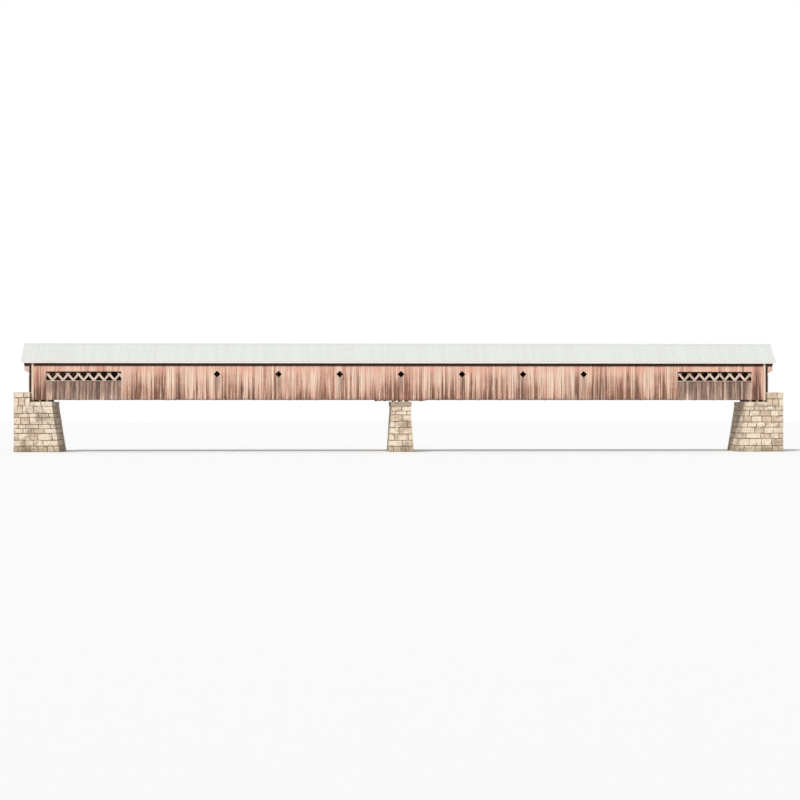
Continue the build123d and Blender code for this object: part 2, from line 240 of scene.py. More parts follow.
class FinishSettings(bpy.types.PropertyGroup):
    paint_dark: colour("Dark paint", "Siding where dirt has settled", 108, 74, 60)
    paint_worn: colour("Worn paint", "Siding with its paint worn thin", 166, 120, 102)
    paint_mid: colour("Faded paint", "Most of the siding", 212, 168, 148)
    paint_light: colour("Light paint", "Siding that the sun has bleached", 234, 196, 176)
    paint_pale: colour("Pale paint", "Boards bleached to cream", 253, 232, 212)
    paint_red: colour("Red paint", "Siding that kept its red near the eave", 240, 172, 152)
    paint_ear: colour("Ear paint", "Paler paint of the ears and gables", 238, 212, 202)
    # Painted shadow: the colour that paints the shade under the eaves, under the rakes and at the
    # top of the long openings.
    soot: colour("Eave stain", "Stain that no rain reaches under the eave", 52, 26, 16)
    board_grey: colour("Bare board", "Bare boards, gone grey", 166, 138, 124)
    board_pale: colour("Pale board", "Bare boards that the sun has dried", 190, 160, 144)
    board_brown: colour("Brown board", "Bare boards, brown and damp", 104, 82, 72)
    # Unpainted wood, made dark partly as painted shade for the inside of the bridge.
    inside: colour("Inside boards", "Unpainted inner faces of the boards", 84, 60, 46)
    trim: colour("Trim", "Corner boards and rails", 236, 224, 204)
    # Dark colour of the strips beside the corner boards, also used for the painted shadow at the
    # top of the long openings.
    tar: colour("Tarred board", "Dark strip at the corners of the portals", 58, 42, 36)
    timber_light: colour("Light timber", "Ridges of the grain of the frame", 188, 160, 134)
    timber_dark: colour("Dark timber", "Hollows of the grain of the frame", 108, 82, 64)
    # Partly sun-bleached wood and partly painted sunlight: the planks seen in the long openings.
    plank_bleached: colour("Bleached plank", "Lattice planks that the sun reaches", 252, 230, 218)
    plank_shaded: colour("Shaded plank", "Hollows of the bleached planks", 200, 172, 154)
    eave: colour("Eave boards", "Pale boards along the edges of the roof", 255, 250, 247)
    eave_worn: colour("Worn eave boards", "Where the eave boards show wear", 246, 232, 224)
    plank_light: colour("Worn deck", "Deck where wheels wear it", 168, 152, 136)
    plank_dark: colour("Dirty deck", "Deck where dirt stays", 92, 80, 70)
    metal: colour("Roof metal", "Dull pale metal of the roof", 222, 226, 225)
    metal_stain: colour("Roof stain", "Stains on the roof metal", 210, 213, 211)
    # Partly dirt and partly painted shade: the dark lines beside the roof seams.
    metal_dirt: colour("Roof dirt", "Dirt that settles beside the seams", 176, 178, 176)
    stone_pale: colour("Pale stone", "Lightest stones", 248, 233, 214)
    stone_warm: colour("Warm stone", "Warm tan stones", 230, 208, 184)
    stone_grey: colour("Grey stone", "Greyest stones", 190, 170, 152)
    stone_dark: colour("Stone hollows", "Weathered hollows of the stones", 136, 112, 92)
    mortar: colour("Mortar", "Joints between the stones", 148, 124, 102)
    concrete: colour("Cap", "Grey cap of the pier", 186, 166, 147)
    joint_dark: colour("Open joint", "Joints that have lost their mortar", 74, 58, 46)
    moss: colour("Damp", "Damp and growth near the foot", 128, 118, 88)


class StageSettings(bpy.types.PropertyGroup):
    floor: colour("Floor", "Pale floor as the camera sees it", 247, 249, 252)
    bounce: colour("Floor light", "Floor as it lights the bridge", 205, 203, 200)
    sun: strength("Main light", "Strength of the light from the front left", 2.4)
    sky: strength("Fill light", "Strength of the light from all around", 0.45)
    distance: length("Camera distance", "From the camera to the bridge", 25.0)
    height: length("Camera height", "Height of the camera over the bridge's foot", 0.5)
    left: length("Camera to the left", "How far left of the pier the camera stands", 0.99)
    view: length("View", "Width that the picture takes in at the bridge", 9.36)
    aim: length("Aim", "Height that the camera looks at", 0.60)


class BridgeSettings(bpy.types.PropertyGroup):
    boarding: bpy.props.PointerProperty(type=BoardingSettings)
    roof: bpy.props.PointerProperty(type=RoofSettings)
    masonry: bpy.props.PointerProperty(type=MasonrySettings)
    floor: bpy.props.PointerProperty(type=FloorSettings)
    truss: bpy.props.PointerProperty(type=TrussSettings)
    finish: bpy.props.PointerProperty(type=FinishSettings)
    stage: bpy.props.PointerProperty(type=StageSettings)


# Node trees
class Value:
    """What a node gives, with arithmetic that adds further nodes."""

    def __init__(self, wiring, socket):
        self.wiring = wiring
        self.socket = socket

    def math(self, operation, *others):
        return self.wiring.value("ShaderNodeMath", self, *others, operation=operation)

    def __add__(self, other):
        return self.math("ADD", other)

    def __sub__(self, other):
        return self.math("SUBTRACT", other)

    def __mul__(self, other):
        return self.math("MULTIPLY", other)

    def __truediv__(self, other):
        return self.math("DIVIDE", other)

    def __gt__(self, other):
        return self.math("GREATER_THAN", other)

    def __lt__(self, other):
        return self.math("LESS_THAN", other)

    def __abs__(self):
        return self.math("ABSOLUTE")

    def spread(self, low, high, out_low=0.0, out_high=1.0):
        """Eases from out_low to out_high as the value goes from low to high."""
        inputs = (self, low, high, out_low, out_high)
        return self.wiring.value("ShaderNodeMapRange", *inputs, interpolation_type="SMOOTHSTEP")


class Wiring:
    """Adds nodes to a tree, with their links and values set as they are made."""

    def __init__(self, tree, material=None):
        self.tree = tree
        self.material = material

    def feed(self, socket, value):
        """Links what a node gives to a socket, or sets a plain value on it."""
        source = value.socket if isinstance(value, Value) else value
        if isinstance(source, bpy.types.NodeSocket):
            self.tree.links.new(source, socket)
        else:
            socket.default_value = source

    def node(self, kind, *numbered, **named):
        """A node with its inputs in order or by name, and its settings in small letters."""
        made = self.tree.nodes.new(kind)
        inputs = dict(enumerate(numbered))
        for name, value in named.items():
            if name.islower():
                setattr(made, name, value)
            else:
                inputs[name.replace("_", " ")] = value
        for key, value in inputs.items():
            self.feed(made.inputs[key], value)
        return made

    def value(self, kind, *numbered, output=0, **named):
        return Value(self, self.node(kind, *numbered, **named).outputs[output])

    def place(self):
        return self.value("ShaderNodeTexCoord", output="Object")

    def attribute(self, name):
        return self.value("ShaderNodeAttribute", output="Fac", attribute_name=name)

    def separate(self, vector):
        made = self.node("ShaderNodeSeparateXYZ", vector)
        return [Value(self, socket) for socket in made.outputs]

    def turned(self, vector, angles):
        inputs = {"Vector": vector, "Rotation": angles}
        return self.value("ShaderNodeVectorRotate", rotation_type="EULER_XYZ", **inputs)

    def noise(self, place, scale, detail=3.0, roughness=0.55, distortion=0.0):
        """Noise at a place, which is a vector or its three parts."""
        if isinstance(place, tuple):
            place = self.value("ShaderNodeCombineXYZ", *place)
        return self.value(
            "ShaderNodeTexNoise", Vector=place, Scale=scale, Detail=detail, Roughness=roughness,
            Distortion=distortion,
        )

    def stretched(self, x, y, z, detail=3.0, roughness=0.55):
        """Noise on a place given by its parts, spread out between 0 and 1."""
        return self.noise((x, y, z), 1.0, detail, roughness).spread(0.3, 0.7)

    def ramp(self, factor, *stops):
        made = self.node("ShaderNodeValToRGB", factor)
        elements = made.color_ramp.elements
        elements[0].position, elements[0].color = stops[0]
        elements[1].position, elements[1].color = stops[-1]
        for position, shade in stops[1:-1]:
            elements.new(position).color = shade
        return Value(self, made.outputs[0])

    def mix(self, factor, first, second, kind="RGBA"):
        """A mix of two colours, or of two vectors."""
        start, output = {"RGBA": (6, 2), "VECTOR": (4, 1)}[kind]
        made = self.node("ShaderNodeMix", factor, data_type=kind)
        self.feed(made.inputs[start], first)
        self.feed(made.inputs[start + 1], second)
        return Value(self, made.outputs[output])

    def coats(self, base, *layers):
        """A base colour under layers, each with the amount by which it covers what is below."""
        for amount, layer in layers:
            base = self.mix(amount, base, layer)
        return base

    def surface(self, base, roughness, bump=None, depth=0.0005, **values):
        """Gives the material its colour, roughness and bump, and gives the material."""
        values.update(Base_Color=base, Roughness=roughness)
        if bump is not None:
            relief = self.value("ShaderNodeBump", Height=bump, Distance=depth, Strength=1.0)
            values["Normal"] = relief
        shader = self.value("ShaderNodeBsdfPrincipled", **values)
        self.node("ShaderNodeOutputMaterial", Surface=shader)
        return self.material

    def random(self, low, high, number, start):
        """A random value between two limits, for a number and a seed."""
        made = self.node("FunctionNodeRandomValue", data_type="FLOAT")
        inputs = {"Min": low, "Max": high, "ID": number, "Seed": start}
        for socket in made.inputs:
            if socket.enabled and socket.name in inputs:
                self.feed(socket, inputs[socket.name])
        return Value(self, next(socket for socket in made.outputs if socket.enabled))

    def store(self, geometry, name, value, domain):
        return self.value(
            "GeometryNodeStoreNamedAttribute", Geometry=geometry, Name=name, Value=value,
            data_type="FLOAT", domain=domain,
        )

    def instances(self, points, thing, **named):
        kind = "GeometryNodeInstanceOnPoints"
        return self.value(kind, Points=points, Instance=thing, **named)

    def close(self, geometry, material):
        """Ends a tree with real geometry that has its material, and gives the tree."""
        real = self.value("GeometryNodeRealizeInstances", Geometry=geometry)
        painted = self.value("GeometryNodeSetMaterial", Geometry=real, Material=material)
        self.node("NodeGroupOutput", Geometry=painted)
        return self.tree


def new_material(name):
    """The wiring of a new and empty material."""
    material = bpy.data.materials.new(name)
    material.use_nodes = True
    material.node_tree.nodes.clear()
    return Wiring(material.node_tree, material)


def new_tree(name, **inputs):
    """The wiring of a new geometry tree, and its inputs by their names."""
    tree = bpy.data.node_groups.new(name, "GeometryNodeTree")
    for title, kind in inputs.items():
        tree.interface.new_socket(title, in_out="INPUT", socket_type=f"NodeSocket{kind}")
    tree.interface.new_socket("Geometry", in_out="OUTPUT", socket_type="NodeSocketGeometry")
    wiring = Wiring(tree)
    sockets = wiring.node("NodeGroupInput").outputs
    return wiring, {title: Value(wiring, sockets[title]) for title in inputs}


# Finishes
def inner_side(x, y):
    """1 on the inner half of the side boards and gable boards, and 0 on the outer half."""
    return (abs(y) < BOARD_MIDDLE) * (abs(x) < GABLE_MIDDLE)


def beside_joints(wiring, across, spoil):
    """1 along the edges of a board, where dirt sits in the joints, fading inwards."""
    edge = wiring.attribute("half") - abs(across - wiring.attribute("middle"))
    return (spoil * (JOINT_DIRT * 0.6) + edge).spread(JOINT_DIRT, JOINT_DIRT * 0.25)


def beside_windows(x, y):
    """How far a place is along the bridge from the middle of the nearest diamond window."""
    shifted = (y > 0.0) * (WINDOW_STEP / 2) + x
    distant = abs(x) > WINDOW_STEP * WINDOWS_REACH
    return shifted.math("PINGPONG", WINDOW_STEP / 2) + distant


def run_below_windows(aside, z, spoil):
    """Where rain runs down from the diamond windows and leaves the boards grey."""
    narrow = (spoil * 0.05 + aside).spread(0.066, 0.02)
    below = z.spread(WINDOW_LEVEL, WINDOW_LEVEL - 0.04)
    return narrow * below * z.spread(SIDING_LOW.z - 0.1, WINDOW_LEVEL - 0.08, 0.25, 1.0)


def siding_finish(finish):
    """Faded pink paint on upright boards, bleached and dirty in runs, with painted shadow under
    the eave and under the rakes.
    """
    wiring = new_material("faded_siding_paint")
    x, y, z = wiring.separate(wiring.place())
    board = wiring.attribute("board")
    own = board * 61.0
    along = x + y
    fine = along * 190.0 + own
    streak = wiring.stretched(fine, own, z * 6.0, 6.0, 0.62)
    grain = wiring.noise((fine, own, z * 16.0), 3.4, 4.0, 0.7)
    wash = wiring.stretched(along * 42.0, 3.0, board * 1.7 + z * 1.5)
    patch = wiring.stretched(along * 2.6, 7.0, z * 3.2)
    flakes = wiring.stretched(along * 120.0, 1.0, z * 34.0, 5.0, 0.7)
    band = wiring.stretched(along * 15.0, 5.0, z * 0.9)
    run = wiring.stretched(along * 74.0, 11.0, z * 1.1, 4.0)
    thin = wiring.stretched(along * 135.0, 17.0, z * 1.2).spread(0.74, 0.96) * run.spread(0.1, 0.6)
    bleached = wiring.stretched(along * 58.0, 23.0, z * 1.3, 4.0).spread(0.66, 0.94)

    worn_end = abs(x).spread(TRUSS_HALF - 0.19, TRUSS_HALF - 0.13)
    above = z.spread(SIDING_LOW.z, SIDING_LOW.z + 0.27)
    high = z.spread(SIDING_HIGH.z - 0.2, SIDING_HIGH.z - 0.06)
    low = z.spread(SIDING_HIGH.z - 0.07, SIDING_LOW.z + 0.19, 0.24, 1.0)
    tone = board * 0.42 + wash * 0.2 + streak * 0.2 + patch * 0.14 + flakes * 0.14 + band * 0.22
    tone = tone + above * 0.2 + high * 0.12 - worn_end * 0.28
    paint = wiring.ramp(
        tone.spread(0.42, 1.18),
        (0.0, finish.paint_dark), (0.22, finish.paint_worn), (0.44, finish.paint_mid),
        (0.7, finish.paint_light), (1.0, finish.paint_pale),
    )

    ears = abs(x) > TRUSS_HALF + 0.002
    gable = abs(x) > EAR_HIGH.x - MERGE
    side = gable * -1.0 + 1.0
    joints = beside_joints(wiring, x * side + y * gable, streak)
    aside = beside_windows(x, y)
    # A near-black ring around each diamond window, in the painted shadow's colour.
    rim = streak * 0.006 + aside + abs(z - WINDOW_LEVEL)
    rim = rim.spread(WINDOW_HALF + 0.011, WINDOW_HALF + 0.003)
    # Painted shadow on the siding: a dark band just under the eave, where the overhang's shade
    # falls.
    painted_eave_shadow = (streak * 0.008 + z).spread(EAVE_FOOT - 0.039, EAVE_FOOT - 0.026)
    # Painted shadow on the gables: a dark band just under the rakes.
    painted_rake_shadow = streak * -0.03 + abs(y) * ROOF_PITCH + z
    painted_rake_shadow = painted_rake_shadow.spread(ROOF_HIGH.z - 0.09, ROOF_HIGH.z - 0.05, 0.0, 0.6)
    splash = (streak * 0.03 + z).spread(SIDING_LOW.z + 0.054, SIDING_LOW.z + 0.008)
    wet = wiring.mix(streak.spread(0.3, 0.9), finish.paint_dark, finish.board_grey)
    # Inner faces of the boards: unpainted wood, darkened partly as painted shade for the inside of
    # the bridge.
    bare = wiring.mix(streak, finish.inside, finish.timber_dark)
    paint = wiring.coats(
        paint,
        (high * 0.2 + high * patch * 0.34 + patch * band * 0.3, finish.paint_red),
        (run.spread(0.62, 0.9) * low * 0.85, finish.paint_dark),
        (thin * 0.7, finish.paint_dark),
        (bleached * low * 0.8, finish.paint_pale),
        (ears * 0.6, finish.paint_ear),
        (joints * 0.62, finish.paint_dark),
        (run_below_windows(aside, z, run) * 0.7, wet),
        (rim * 0.8, finish.soot),
        (painted_eave_shadow * side * 0.96 + painted_rake_shadow * gable, finish.soot),
        (splash * 0.62, finish.paint_dark),
        (inner_side(x, y), bare),
    )
    return wiring.surface(
        paint, grain.spread(0.2, 0.8, 0.72, 0.95), grain * 0.6 + flakes * 0.4, 0.0006
    )


def bare_board_finish(finish):
    """Boards with little paint left, grey and brown, some of them still cream."""
    wiring = new_material("bare_weathered_boards")
    x, y, z = wiring.separate(wiring.place())
    board = wiring.attribute("board")
    own = board * 47.0
    streak = wiring.stretched(x * 210.0 + own, own, z * 8.0, 6.0, 0.6)
    wash = wiring.stretched(x * 38.0, 5.0, z * 3.0)
    low = z.spread(SILL_HIGH.z, SILL_LOW.z)
    tone = board * 0.44 + streak * 0.36 + wash * 0.24 + low * 0.1
    wood = wiring.ramp(
        tone.spread(0.28, 1.06),
        (0.0, finish.board_brown), (0.4, finish.board_grey), (0.68, finish.board_pale),
        (0.84, finish.paint_light), (1.0, finish.paint_pale),
    )
    wood = wiring.coats(
        wood,
        (beside_joints(wiring, x, streak) * 0.6, finish.board_brown),
        # Inner faces: unpainted wood, darkened partly as painted shade for the inside of the
        # bridge.
        (inner_side(x, y), wiring.mix(streak, finish.inside, finish.timber_dark)),
    )
    return wiring.surface(wood, 0.88, streak, 0.0008)


def grained(wiring, vector, light, dark):
    """Gives a timber its grain, stains and roughness from a place measured along the grain."""
    x, y, z = wiring.separate(vector)
    grain = wiring.noise((x * 7.0, y * 170.0, z * 170.0), 1.0, 5.0, 0.65, 0.4)
    stain = wiring.noise(vector, 5.0, 3.0, 0.6)
    wood = wiring.mix((stain * 0.7 + grain * 0.6).spread(0.4, 0.9), dark, light)
    return wiring.surface(wood, grain.spread(0.2, 0.8, 0.9, 0.7), grain, 0.0007)


def timber_finish(name, light, dark, turn=(0.0, 0.0, 0.0)):
    """Sawn timber whose grain runs along X, or along X turned by some angles."""
    wiring = new_material(name)
    return grained(wiring, wiring.turned(wiring.place(), turn), light, dark)


def lattice_finish(finish):
    """Timber whose grain follows the planks, bleached and brightened with painted sunlight where
    the long openings let the sun in, and darkened with painted shadow under their heads.
    """
    wiring = new_material("lattice_planks")
    place = wiring.place()
    x, y, z = wiring.separate(place)
    along = (y > 0.0) * OPENING_LONG + abs(x)
    opened = along.math("COMPARE", SILL_HIGH.x - OPENING_LONG / 2, OPENING_LONG / 2 + 0.003)
    opened = opened * (abs(y) > 0.0005 - LATTICE_HIGH.y)
    # Painted sunlight, partly real bleaching: planks in the long openings below the head's shadow
    # line are made pale.
    sunlit = opened * z.spread(OPENING_HIGH - 0.012, OPENING_HIGH - 0.022)
    # Painted shadow: a dark band on the planks just under the head of each long opening, where the
    # siding's shade falls.
    painted_head_shadow = opened * z.spread(OPENING_HIGH - 0.02, OPENING_HIGH - 0.01)
    light = wiring.coats(finish.timber_light, (sunlit, finish.plank_bleached), (painted_head_shadow, finish.tar))
    dark = wiring.coats(finish.timber_dark, (sunlit, finish.plank_shaded), (painted_head_shadow, finish.soot))
    lean = math.atan2(ROW_SPACING, BAY / 2)
    layers = [wiring.turned(place, (0.0, angle, 0.0)) for angle in (lean, -lean)]
    along_planks = wiring.mix(abs(y) > LATTICE_MIDDLE, *layers, kind="VECTOR")
    return grained(wiring, along_planks, light, dark)


def plank_finish(finish):
    """Deck planks, worn pale along two wheel tracks and dirty beside them."""
    wiring = new_material("deck_planks")
    x, y = wiring.separate(wiring.place())[:2]
    board = wiring.attribute("board")
    own = board * 53.0
    grain = wiring.noise((x * 200.0 + own, y * 9.0, own), 1.0, 5.0, 0.6)
    worn = abs(abs(y) - WHEEL_TRACK).spread(0.07, 0.02)
    tone = board * 0.35 + grain * 0.6 + worn * 0.3
    wood = wiring.mix(tone.spread(0.25, 1.05), finish.plank_dark, finish.plank_light)
    wood = wiring.mix(beside_joints(wiring, x, grain) * 0.6, wood, finish.inside)
    return wiring.surface(wood, 0.9, grain, 0.0008)


def metal_finish(finish, seam_spacing):
    """Dull galvanized and once painted sheets, stained in runs down the slope."""
    wiring = new_material("seamed_sheet_metal")
    place = wiring.place()
    x, z = wiring.separate(place)[::2]
    runs = wiring.noise((x * 95.0, 0.0, z * 7.0), 1.0, 4.0, 0.6)
    cloud = wiring.noise(place, 1.7, 4.0, 0.62)
    tone = wiring.attribute("pan") * 0.14 + runs * 0.42 + cloud * 0.5
    metal = wiring.mix(tone.spread(0.22, 0.84), finish.metal_stain, finish.metal)
    spacing = 2 * ROOF_HALF / round(2 * ROOF_HALF / seam_spacing)
    # Partly dirt and partly painted shade: the metal darkens along both sides of every seam.
    beside = (x + ROOF_HALF).math("PINGPONG", spacing / 2)
    seam_dirt_and_shade = (runs * 0.003 + beside).spread(0.0065, 0.0015)
    metal = wiring.mix(seam_dirt_and_shade * 0.14, metal, finish.metal_dirt)
    rough = cloud.spread(0.3, 0.7, 0.62, 0.44)
    return wiring.surface(metal, rough, runs, 0.0003, Metallic=0.15)


def stone_finish(finish):
    """Coursed stones that differ in colour, stained from above and damp at the foot."""
    wiring = new_material("weathered_stone")
    place = wiring.place()
    z = wiring.separate(place)[2]
    mottle = wiring.noise(place, 26.0, 6.0, 0.66)
    grit = wiring.noise(place, 240.0, 4.0, 0.7)
    cloud = wiring.noise(place, 5.0, 4.0, 0.6)
    blotch = wiring.noise(place, 21.0, 9.0, 0.8)
    veins = wiring.noise(place, 13.0, 6.0, 0.62)
    tone = wiring.attribute("stone") * 0.5 + mottle * 0.7
    stone = wiring.ramp(
        tone.spread(0.1, 1.0),
        (0.0, finish.stone_grey), (0.3, finish.stone_warm), (0.58, finish.stone_pale),
        (1.0, finish.stone_pale),
    )
    crack = abs(veins - 0.47).spread(0.011, 0.002) * mottle.spread(0.4, 0.56)
    stain = (cloud + grit * 0.25).spread(0.6, 0.82, 0.0, 0.7)
    damp = z.spread(0.16, 0.0, 0.0, 0.6) + cloud * 0.5
    stone = wiring.coats(
        stone,
        (blotch.spread(0.5, 0.33, 0.0, 0.85), finish.stone_dark),
        (crack * 0.75, finish.joint_dark),
        (stain, finish.stone_dark),
        (damp.spread(0.45, 1.0, 0.0, 0.75), finish.moss),
    )
    return wiring.surface(stone, grit.spread(0.2, 0.8, 0.8, 0.98), grit * 0.35 + mottle, 0.0022)


def plain_stone_finish(name, base, dirt, scale):
    """Mortar or a cast cap: one colour, mottled with dirt."""
    wiring = new_material(name)
    place = wiring.place()
    mottle = wiring.noise(place, scale, 6.0, 0.7)
    fine = wiring.noise(place, scale * 9, 3.0, 0.6)
    shade = wiring.mix(mottle.spread(0.42, 0.75, 0.0, 0.7), base, dirt)
    return wiring.surface(shade, 0.93, fine * 0.4 + mottle, 0.0012)


# Meshes
def new_object(name, mesh, *materials):
    """A mesh object at the origin, with its materials."""
    made = bpy.data.objects.new(name, mesh)
    bpy.context.scene.collection.objects.link(made)
    for material in materials:
        mesh.materials.append(material)
    return made


def keep(piece, slot, *nodes):
    """The piece rides on the bridge, and stands for the nodes that it covers."""
    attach(piece, "root")
    if nodes:
        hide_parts(*nodes)


def repaint(material, *names):
    """Gives nodes of the frame a finish."""
    for name in names:
        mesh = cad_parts[name].data
        mesh.materials.clear()
        mesh.materials.append(material)


def both_sides(*names):
    return [f"{side}_{name}" for side in SIDES for name in names]


def closed_islands(node):
    """The separate solids of a node, each as a closed mesh of its own."""
    whole = bmesh.new()
    whole.from_mesh(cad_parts[node].data)
    bmesh.ops.remove_doubles(whole, verts=whole.verts, dist=MERGE)
    whole.verts.ensure_lookup_table()
    seen = set()
    meshes = []
    for start in whole.verts:
        if start.index in seen:
            continue
        island = [start]
        seen.add(start.index)
        for vertex in island:
            for edge in vertex.link_edges:
                other = edge.other_vert(vertex)
                if other.index not in seen:
                    seen.add(other.index)
                    island.append(other)
        number = {vertex.index: place for place, vertex in enumerate(island)}
        faces = {face for vertex in island for face in vertex.link_faces}
        ordered = sorted(faces, key=lambda face: face.index)
        corners = [[number[vertex.index] for vertex in face.verts] for face in ordered]
        mesh = bpy.data.meshes.new(node)
        mesh.from_pydata([vertex.co for vertex in island], [], corners)
        meshes.append(mesh)
    whole.free()
    return meshes


class Blocks:
    """Collects blocks for one mesh, each with a value of its own for the finish."""

    FACES = ((0, 3, 2, 1), (4, 5, 6, 7), (0, 1, 5, 4), (1, 2, 6, 5), (2, 3, 7, 6), (3, 0, 4, 7))

    def __init__(self):
        self.points = []
        self.faces = []
        self.values = []
        self.slots = []

    def add(self, points, faces, value=0.5, slot=0):
        start = len(self.points)
        self.points.extend(points)
        self.faces.extend(tuple(start + corner for corner in face) for face in faces)
        self.values.extend([value] * len(points))
        self.slots.extend([slot] * len(faces))

    def block(self, corners, value=0.5, slot=0):
        """A block from its four lower corners and the four above them."""
        self.add(corners, self.FACES, value, slot)

    def box(self, xs, ys, zs, slot=0):
        """An upright block from its two limits each way, in any order."""
        (x_low, x_high), (y_low, y_high) = sorted(xs), sorted(ys)
        plan = ((x_low, y_low), (x_high, y_low), (x_high, y_high), (x_low, y_high))
        self.block([(x, y, z) for z in zs for x, y in plan], slot=slot)

    def mesh(self, name, attribute="board"):
        made = bpy.data.meshes.new(name)
        made.from_pydata(self.points, [], self.faces)
        layer = made.attributes.new(attribute, "FLOAT", "POINT")
        layer.data.foreach_set("value", self.values)
        made.polygons.foreach_set("material_index", self.slots)
        shape = bmesh.new()
        shape.from_mesh(made)
        bmesh.ops.recalc_face_normals(shape, faces=shape.faces)
        shape.to_mesh(made)
        shape.free()
        return made

    def piece(self, name, *materials, attribute="board"):
        return new_object(name, self.mesh(name, attribute), *materials)


# Boards cut from a panel
def boards_tree():
    """Boards side by side over a panel, cut to its outline and its holes."""
    axes = ("Across", "Along", "Through")
    wiring, entry = new_tree(
        "Boards from a panel", Geometry="Geometry", Across="Vector", Along="Vector",
        Through="Vector", Width="Float", Gap="Float", Relief="Float", Ragged="Float",
        Seed="Int", Material="Material",
    )
    panel = wiring.value("GeometryNodeMergeByDistance", Geometry=entry["Geometry"], Distance=MERGE)
    limits = wiring.node("GeometryNodeBoundBox", Geometry=panel).outputs
    vector = "ShaderNodeVectorMath"

    def measures(corner):
        """How far a corner of the panel's box is along each of the three axes."""
        return [
            wiring.value(vector, corner, entry[axis], output="Value", operation="DOT_PRODUCT")
            for axis in axes
        ]

    def place(*distances):
        """A vector from its distances along the three axes."""
        whole = (0.0, 0.0, 0.0)
        for axis, distance in zip(axes, distances):
            whole = wiring.value(vector, entry[axis], distance, whole, operation="MULTIPLY_ADD")
        return whole

    lows = measures(limits["Min"])
    sizes = [high - low for high, low in zip(measures(limits["Max"]), lows)]
    count = (sizes[0] / entry["Width"]).math("ROUND").math("MAXIMUM", 1.0)
    pitch = sizes[0] / count
    index = wiring.value("GeometryNodeInputIndex")

    def edge(number):
        """A joint between boards, moved about at random except at the panel's ends."""
        shift = wiring.random(-JOINT_SHIFT, JOINT_SHIFT, number, entry["Seed"])
        inner = (number > 0.5) * (number < count - 0.5)
        return (shift * inner + number) * pitch + lows[0]

    first, second = edge(index), edge(index + 1.0)
    width = second - first - entry["Gap"]
    across = (first + second) * 0.5
    lift = wiring.random(0.0, entry["Ragged"], index, entry["Seed"] + 1.0)
    height = sizes[1] - lift + BOARD_SPARE
    along = height * 0.5 + (lows[1] + lift)
    thinner = wiring.random(LEAST_RELIEF, entry["Relief"], index, entry["Seed"] + 2.0)
    through = sizes[2] * 0.5 + lows[2]
    thickness = sizes[2] * (thinner * -1.0 + 1.0)
    traits = {
        "board": wiring.random(0.0, 1.0, index, entry["Seed"] + 3.0),
        "middle": across,
        "half": width * 0.5,
    }

    points = wiring.value("GeometryNodePoints", Count=count)
    centre = place(across, along, through)
    points = wiring.value("GeometryNodeSetPosition", Geometry=points, Position=centre)
    board = wiring.value("GeometryNodeMeshCube", Size=(1.0, 1.0, 1.0))
    boards = wiring.instances(points, board, Scale=place(width, height, thickness))
    for name, value in traits.items():
        boards = wiring.store(boards, name, value, "INSTANCE")
    boards = wiring.value("GeometryNodeRealizeInstances", Geometry=boards)
    cut = wiring.node("GeometryNodeMeshBoolean", operation="INTERSECT", solver="EXACT")
    for mesh in (panel, boards):
        wiring.feed(cut.inputs["Mesh 2"], mesh)
    kept = cut.outputs[0]
    for name in traits:
        own = wiring.value("GeometryNodeInputNamedAttribute", Name=name, data_type="FLOAT")
        found = wiring.value(
            "GeometryNodeSampleNearestSurface", Mesh=boards, Value=own, output="Value",
            data_type="FLOAT",
        )
        kept = wiring.store(kept, name, found, "FACE")
    return wiring.close(kept, entry["Material"])


def run_tree(tree, name, mesh, values):
    """Runs a geometry tree on a mesh and gives the result as a plain mesh."""
    carrier = new_object(name, mesh)
    modifier = carrier.modifiers.new("tree", "NODES")
    modifier.node_group = tree
    for item in tree.interface.items_tree:
        if item.in_out == "INPUT" and item.name in values:
            modifier[item.identifier] = values[item.name]
    graph = bpy.context.evaluated_depsgraph_get()
    result = bpy.data.meshes.new_from_object(carrier.evaluated_get(graph))
    bpy.data.objects.remove(carrier)
    result.name = name
    if not result.polygons:
        raise RuntimeError(f"{name} came out empty")
    result.materials.clear()
    result.materials.append(values["Material"])
    result.polygons.foreach_set("material_index", [0] * len(result.polygons))
    return result


def boarded(name, tree, panels, axes, settings, material, shift=0, **changes):
    """A piece made of boards, cut from one or more panels."""
    values = {
        "Across": axes[0], "Along": axes[1], "Through": axes[2], "Width": settings.width,
        "Gap": settings.gap, "Relief": settings.relief, "Material": material,
        "Ragged": getattr(settings, "ragged", 0.0), **changes,
    }
    parts = []
    for number, panel in enumerate(panels):
        values["Seed"] = settings.seed + shift + 10 * number
        title = f"{name}_{number}"
        parts.append(new_object(title, run_tree(tree, title, panel, values)))
    if len(parts) > 1:
        with bpy.context.temp_override(active_object=parts[0], selected_editable_objects=parts):
            bpy.ops.object.join()
    parts[0].name = name
    parts[0].data.name = name
    return parts[0]


# Stonework
def split_length(total, mean, rng):
    """Marks between 0 and 1 that cut a total into uneven lengths near a mean."""
    count = max(1, round(total / mean))
    parts = [rng.uniform(*UNEVEN_LENGTHS) for _ in range(count)]
    whole = sum(parts)
    marks = [0.0]
    for part in parts:
        marks.append(marks[-1] + part / whole)
    return marks


def tapered(foot, top, height):
    """An outline that narrows evenly from its foot to its top, as low x, high x, low y, high y."""
    def outline(level):
        part = level / height
        return tuple(a + (b - a) * part for a, b in zip(foot, top))
    return outline


